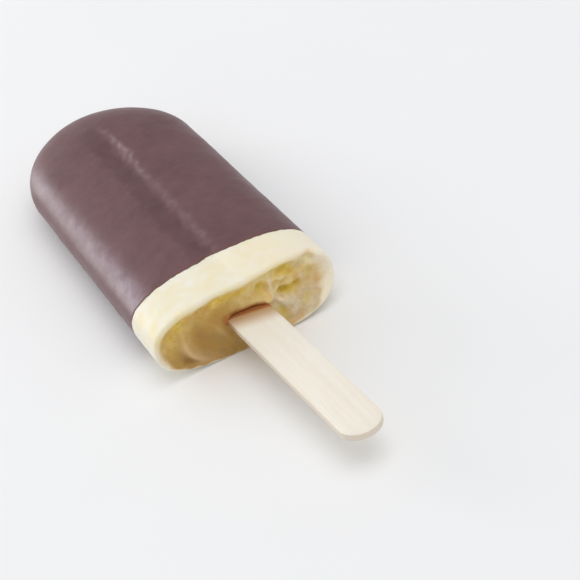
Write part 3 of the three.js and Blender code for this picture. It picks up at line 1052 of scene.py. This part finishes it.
# %% [markdown]
# ## The colour of the end face
# The end froze in the air, so it is rough, and light that has bounced about in it comes out a much
# deeper yellow. Each step lays one tint over the last, from the ground up: the regions, the painted
# gold, painted shade and spots of amber and brown, then the painted highlights on the crests and
# the cream of painted light that lie on top. `lumpy` is a noise that gives the wide tints a darker
# and a lighter tone.

# %% The end face's colour
REGIONS = [  # painted value, darker and lighter tone
    ("tan", (222, 190, 136), (232, 208, 160)),
    ("pale", (228, 209, 168), (240, 226, 192)),
    ("left", (220, 182, 98), (228, 196, 118)),
]


def ground_colour(finish, lumpy):
    cut = finish.tones(lumpy, (228, 197, 122), (238, 214, 150))
    for name, darker, lighter in REGIONS:
        cut = finish.cover(cut, finish.painted(name), finish.tones(lumpy, darker, lighter))
    # painted shade on the left half, strongest away from the rim
    cut = finish.cover(cut, finish.painted("inner_shade") * 0.5, (178, 138, 74))
    warm = finish.grain(2.6, detail=2, roughness=0.5, offset=9)
    return finish.cover(cut, finish.spread(warm, 0.5, 0.75, 0, 0.4), (226, 172, 96))


def with_depths(finish, cut, lumpy):
    # painted gold for the shade under the upper rim, lit through its thin edge
    golden = finish.tones(lumpy, (234, 198, 84), (244, 216, 118))
    cut = finish.cover(cut, finish.painted("glow") * 0.9, golden)
    # painted shade low down, where less light reaches the face
    cut = finish.cover(cut, finish.painted("low") * 0.8, (150, 114, 68))
    # painted shade in the hollows, browner on the left half
    hollow_shades = finish.tones(finish.painted("left"), (224, 194, 76), (180, 138, 74))
    cut = finish.cover(cut, finish.painted("hollow_shade") * 0.9, hollow_shades)
    cut = finish.cover(cut, finish.painted("amber"), (222, 176, 106))
    return finish.cover(cut, finish.painted("brown"), (184, 132, 74))


def with_crests(finish, cut):
    patchy = finish.grain(2.0, detail=3, roughness=0.6, offset=13)
    patchy = finish.painted("left") * finish.spread(patchy, 0.42, 0.62, 0, 0.4)
    cut = finish.cover(cut, patchy, (196, 152, 66))
    # painted highlight on the crests
    crest_highlights = finish.tones(finish.painted("left"), (248, 228, 202), (232, 206, 158))
    cut = finish.cover(cut, finish.painted("crest_highlight") * 0.7, crest_highlights)
    # painted highlight along the ridge of the fold
    cut = finish.cover(cut, finish.painted("ridge") * 0.6, (224, 190, 142))
    # cream of painted light over the shade under the rim and on its inner walls
    return finish.cover(cut, finish.painted("cream_light"), (238, 224, 178))


# %% [markdown]
# ## Vanilla ice
# Sides and end are mixed by the painted face, and the painted shade round the stick goes over both.
# A little subsurface light makes it look like frozen milk and not like plaster. The end is gritty,
# so the bump grows with the painted face. The finest roughness is real relief, stronger on the
# craggy right half.

# %% Roughen and finish the vanilla
VANILLA_WAVES = (7, 0.05)
VANILLA_LUMP = 1.3
VANILLA_LUMP_DEPTH = 0.2
LEFT_ROUGHNESS = 0.35
CRAGGY_SIDE = (-4, 6)


def vanilla_finish():
    finish = Finish(
        "vanilla ice", IOR=1.35, Specular_IOR_Level=0.35, Subsurface_Weight=0.3,
        Subsurface_Radius=(1.0, 0.6, 0.25), Subsurface_Scale=0.0014)
    mottle = finish.grain(1.6, detail=3, roughness=0.6, offset=2)
    lumpy = finish.spread(mottle, 0.35, 0.65)
    cut = with_crests(finish, with_depths(finish, ground_colour(finish, lumpy), lumpy))
    colour = finish.blend(finish.painted("face"), side_colour(finish), cut)
    # painted shade round the stick, wide and weak, then close and brown
    colour = finish.cover(colour, finish.painted("wide_gap_shade") * 0.4, (178, 122, 66))
    colour = finish.cover(colour, finish.painted("close_gap_shade"), (182, 118, 60))
    finish.give("Base Color", colour)
    finish.give("Roughness", finish.spread(mottle, 0.3, 0.7, 0.35, 0.55))
    grit = finish.grain(0.5, detail=3, roughness=0.7, offset=5)
    finish.bump(grit * (finish.painted("face") * 0.6 + 0.1), 0.2)
    return finish.material


craggy = LEFT_ROUGHNESS + (1 - LEFT_ROUGHNESS) * ease(across, *CRAGGY_SIDE)
roughen(vanilla, *VANILLA_WAVES)
roughen(vanilla, VANILLA_LUMP, VANILLA_LUMP_DEPTH * on_face * craggy)
finish_piece(vanilla, "vanilla_ice", "vanilla_layer", vanilla_finish())

# %% [markdown]
# ## Wood
# The stick is a strip of pale birch. Its grain runs along it, so the noise is stretched twenty
# times in that direction. The wood next to the ice has taken up a little of it and is darker, down
# to a brown line where it leaves the ice, which is stain and painted shade in the gap together.
# The sawn sides are darker than the planed faces, and painted shade darkens them further near the
# ice. The shader tells sides and faces apart by the direction in which they face.

# %% The wooden finish
WOOD_STRETCH = (0.05, 1, 1)
SOAK_FROM = -0.5
SOAK_SLANT = 0.27
SOAKED_FACES = (6, 0.4)
# where the painted shade on the sides near the ice fades
SIDE_SHADE_NEAR_ICE = (6, 0)
# where the brown line of stain and painted shade lies
BROWN_LINE_AND_SHADE = (0.6, -0.5)


def out_of_ice(finish):
    """How far a point of the stick stands out of the ice, in metres."""
    place = finish.node("ShaderNodeTexCoord", {}, {}, "Object")
    along = finish.node("ShaderNodeSeparateXYZ", {}, {"Vector": place}, "X")
    across = finish.node("ShaderNodeSeparateXYZ", {}, {"Vector": place}, "Y")
    return along - across * SOAK_SLANT - (END_X + SOAK_FROM + SOAK_SLANT * STICK_HALF_WIDTH) * MM


def on_sides(finish):
    normal = finish.node("ShaderNodeTexCoord", {}, {}, "Normal")
    facing = finish.node("ShaderNodeSeparateXYZ", {}, {"Vector": normal}, "Z")
    return finish.spread(facing * facing, 0.1, 0.6, 1, 0)


def wood_finish():
    finish = Finish("birch", Roughness=0.62)
    bands = finish.grain(1.6, detail=3, roughness=0.6, stretch=WOOD_STRETCH)
    fibres = finish.grain(0.35, detail=3, roughness=0.7, stretch=WOOD_STRETCH, offset=4)
    out = out_of_ice(finish)
    sides = on_sides(finish)
    faces_soaked, sides_shade_near_ice, brown = [
        finish.spread(out, dry * MM, wet * MM) for dry, wet in (SOAKED_FACES, SIDE_SHADE_NEAR_ICE, BROWN_LINE_AND_SHADE)]
    wood = finish.tones(finish.spread(bands, 0.3, 0.7), (250, 243, 230), (245, 236, 220))
    wood = finish.cover(wood, finish.spread(fibres, 0.5, 0.75, 0, 0.2), (222, 200, 168))
    wood = finish.cover(wood, faces_soaked, (194, 160, 120))
    wood = finish.cover(wood, sides * 0.6, (226, 208, 184))
    # painted shade on the sides near the ice
    wood = finish.cover(wood, sides * sides_shade_near_ice, (180, 144, 104))
    # a brown line of stain and painted shade where the stick leaves the ice
    finish.give("Base Color", finish.cover(wood, brown, (168, 104, 52)))
    finish.bump(fibres * 0.7 + bands * 0.3, 0.08)
    return finish.material


# %% [markdown]
# ## The stick
# A circle is pulled apart into an outline with two rounded ends, filled, and extruded to the
# stick's thickness. A small bevel takes the sharpness off its edges.

# %% Shape the stick
STICK_LENGTH = 114
STICK_SHOWN = 52
STICK_END_LENGTH = 4.5
STICK_EDGE = 0.3
STICK_CIRCLE = 72
LEVEL = 0.001

shown_middle = STICK_SHOWN - STICK_END_LENGTH
hidden_middle = STICK_SHOWN - STICK_LENGTH + STICK_END_LENGTH
stick = bmesh.new()
bmesh.ops.create_circle(stick, cap_ends=True, segments=STICK_CIRCLE, radius=1)
for corner in stick.verts:
    middle = shown_middle if corner.co.x > 0 else hidden_middle
    corner.co.x = middle + corner.co.x * STICK_END_LENGTH
    corner.co.y *= STICK_HALF_WIDTH
    corner.co.z = -STICK_HALF_THICKNESS
top = bmesh.ops.extrude_face_region(stick, geom=stick.faces[:])
moved = [item for item in top["geom"] if isinstance(item, bmesh.types.BMVert)]
bmesh.ops.translate(stick, verts=moved, vec=(0, 0, 2 * STICK_HALF_THICKNESS))
rims = [edge for edge in stick.edges if abs(edge.verts[0].co.z - edge.verts[1].co.z) < LEVEL]
bmesh.ops.bevel(
    stick, geom=rims, offset=STICK_EDGE, affect="EDGES", segments=3, profile=0.5, material=-1)
print("the stick's outline has", STICK_CIRCLE, "corners and", len(rims), "bevelled edges")

# %% [markdown]
# ## Bow and place
# Thin wood is never quite straight. Cutting the stick across every few millimetres lets it bow by
# a hair. Then it is turned by the small skew with which it froze in, and moved to the end of the
# body.

# %% Bow and place the stick
STICK_CUTS = 40
STICK_BOW = 0.12
STICK_YAW = math.radians(2.1)
STICK_RISE = math.radians(0.7)

for cut in range(1, STICK_CUTS):
    place = STICK_SHOWN - STICK_LENGTH * cut / STICK_CUTS
    everything = stick.verts[:] + stick.edges[:] + stick.faces[:]
    bmesh.ops.bisect_plane(stick, geom=everything, plane_co=(place, 0, 0), plane_no=(1, 0, 0))
for corner in stick.verts:
    corner.co.z += STICK_BOW * math.cos(corner.co.x / STICK_SHOWN * math.pi / 2)
turned = Matrix.Rotation(STICK_YAW, 3, "Z") @ Matrix.Rotation(-STICK_RISE, 3, "Y")
bmesh.ops.transform(stick, matrix=turned.to_4x4(), verts=stick.verts)
bmesh.ops.translate(stick, verts=stick.verts, vec=(END_X, 0, MIDDLE_Z - STICK_DROP))
bmesh.ops.recalc_face_normals(stick, faces=stick.faces)
finish_piece(stick, "wooden_stick", "stick", wood_finish())

# %% [markdown]
# ## The table
# A wide pale sheet gives the lolly something to lie on. It is stage, not part of the object.

# %% The floor
FLOOR_HALF = 3.0
FLOOR_CLOUD = 60

floor_shape = bmesh.new()
bmesh.ops.create_grid(floor_shape, x_segments=1, y_segments=1, size=FLOOR_HALF)
floor_mesh = bpy.data.meshes.new("floor")
floor_shape.to_mesh(floor_mesh)
floor_shape.free()
table = Finish("pale table", Roughness=0.6)
table.give("Base Color", table.tones(table.grain(FLOOR_CLOUD), (246, 246, 246), (250, 250, 250)))
floor_mesh.materials.append(table.material)
floor = bpy.data.objects.new("floor", floor_mesh)
bpy.context.scene.collection.objects.link(floor)
floor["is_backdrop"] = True
print("the floor is", 2 * FLOOR_HALF, "metres square")

# %% [markdown]
# ## Camera
# The camera looks down on the end of the lolly through a long lens and is rolled a little, so
# that the lolly lies on the slant. It is placed by direction and distance from the point it looks
# at, which is easier to change by hand than three coordinates.

# %% Place the camera
CAMERA_AIM = Vector((21.77, 10.98, 9.0)) * MM
CAMERA_DISTANCE = 0.4642
CAMERA_AZIMUTH = math.radians(-18.66)
CAMERA_ELEVATION = math.radians(38.45)
CAMERA_ROLL = math.radians(-15.53)
CAMERA_LENS = 129.3
CAMERA_SENSOR = 36
CAMERA_NEAREST = 0.01

back = Vector((
    math.cos(CAMERA_ELEVATION) * math.cos(CAMERA_AZIMUTH),
    math.cos(CAMERA_ELEVATION) * math.sin(CAMERA_AZIMUTH),
    math.sin(CAMERA_ELEVATION)))
right = Vector((0, 0, 1)).cross(back).normalized()
right = Matrix.Rotation(CAMERA_ROLL, 3, back) @ right
camera_data = bpy.data.cameras.new("camera")
camera_data.sensor_width = CAMERA_SENSOR
camera_data.lens = CAMERA_LENS
camera_data.clip_start = CAMERA_NEAREST
camera = bpy.data.objects.new("camera", camera_data)
camera.matrix_world = Matrix((right, back.cross(right), back)).transposed().to_4x4()
camera.location = CAMERA_AIM + back * CAMERA_DISTANCE
bpy.context.scene.collection.objects.link(camera)
bpy.context.scene.camera = camera
print("camera at", [round(value / MM) for value in camera.location], "mm")

# %% [markdown]
# ## Light
# A pale room lights everything softly. One large softbox overhead models the relief, and another,
# low behind the lolly and to its left, is what the chocolate's rounded side mirrors as a band. A
# weak third one, like a window, softens the step between them.

# %% Set the lights
LIGHT_AIM = (-0.02, 0, 0.01)
ROOM_COLOUR = (0.97, 0.98, 1, 1)
ROOM_STRENGTH = 0.6


def softbox(name, place, aim, size, watts):
    light = bpy.data.lights.new(name, "AREA")
    light.shape = "RECTANGLE"
    light.size, light.size_y = size
    light.energy = watts
    lamp = bpy.data.objects.new(name, light)
    lamp.location = place
    lamp.rotation_euler = (Vector(place) - Vector(aim)).to_track_quat("Z", "Y").to_euler()
    bpy.context.scene.collection.objects.link(lamp)
    print(name, "gives", watts, "watts")


softbox("key", (0.14, 0.08, 0.85), (0, 0, 0.01), (0.7, 0.7), 2.5)
softbox("window", (-0.75, -0.27, 0.45), LIGHT_AIM, (0.9, 0.5), 0.6)
softbox("low_left", (-0.66, -0.42, 0.16), LIGHT_AIM, (0.45, 0.36), 2.3)

world = bpy.data.worlds.new("room")
world.use_nodes = True
room = world.node_tree.nodes["Background"]
room.inputs["Color"].default_value = ROOM_COLOUR
room.inputs["Strength"].default_value = ROOM_STRENGTH
bpy.context.scene.world = world
bpy.context.scene.view_settings.view_transform = "Standard"

# %% Write the sizes and finish
low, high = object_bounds()
print("the pieces span", [round(side / MM, 1) for side in high - low], "mm")
